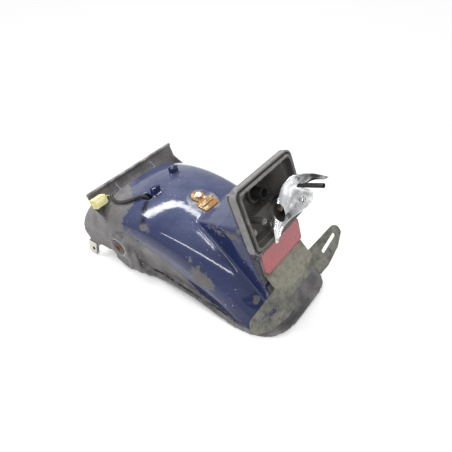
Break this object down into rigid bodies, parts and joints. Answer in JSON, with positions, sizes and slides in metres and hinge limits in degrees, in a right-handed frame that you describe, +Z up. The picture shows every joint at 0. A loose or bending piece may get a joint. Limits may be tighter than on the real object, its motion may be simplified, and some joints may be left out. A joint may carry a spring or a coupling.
{
  "type": "motorcycle rear fender",
  "caption": "Arched rear fender with a lamp pedestal, a broken tail lamp, a red reflector, a number plate bracket with slotted ears, rubber side mounts and a short lamp lead.",
  "frame": {"origin": "middle of the footprint, on the floor that the loose fender rests on", "axes": "+X to the machine's right, +Y forwards, towards the seat, +Z up; the tail lamp faces -Y"},
  "size_m": [0.2472, 0.4082, 0.2318],
  "materials": {
    "fender": "dark blue gloss paint over dark grey plastic, with bare patches",
    "lamp_housing": "dark grey, scuffed",
    "black_rubber": "matte black",
    "zinc": "zinc plated, dulled",
    "chrome": "bright plating on plastic",
    "red": "dull red, scuffed",
    "old_steel": "dirty bare steel",
    "rust": "rusted",
    "brown_rust": "rusted",
    "beige": "pale, dull plating",
    "cream": "cream yellow",
    "wire_yellow": "yellow and green insulation",
    "wire_blue": "blue insulation"
  },
  "bodies": {
    "root": {"fender": "fender", "lamp_housing": "lamp_housing", "lamp_gasket": "black_rubber", "lamp_inserts": "zinc", "bulb_socket": "black_rubber", "chrome_reflector": "chrome", "chrome_screw": "zinc", "lamp_bolts": "zinc", "lamp_nuts": "zinc", "rear_reflector": "red", "reflector_nuts": "zinc", "plate_bracket": "old_steel", "seat_catch": "rust", "seat_catch_bolt": "zinc", "seat_catch_nut": "zinc", "grommet_left": "black_rubber", "grommet_right": "black_rubber", "sleeve_left": "brown_rust", "sleeve_right": "brown_rust", "clip_nut_left": "beige", "clip_nut_right": "beige", "sheath": "black_rubber", "wire_yellow": "wire_yellow", "wire_blue": "wire_blue", "wire_black": "black_rubber", "connector": "cream"}
  },
  "joints": []
}
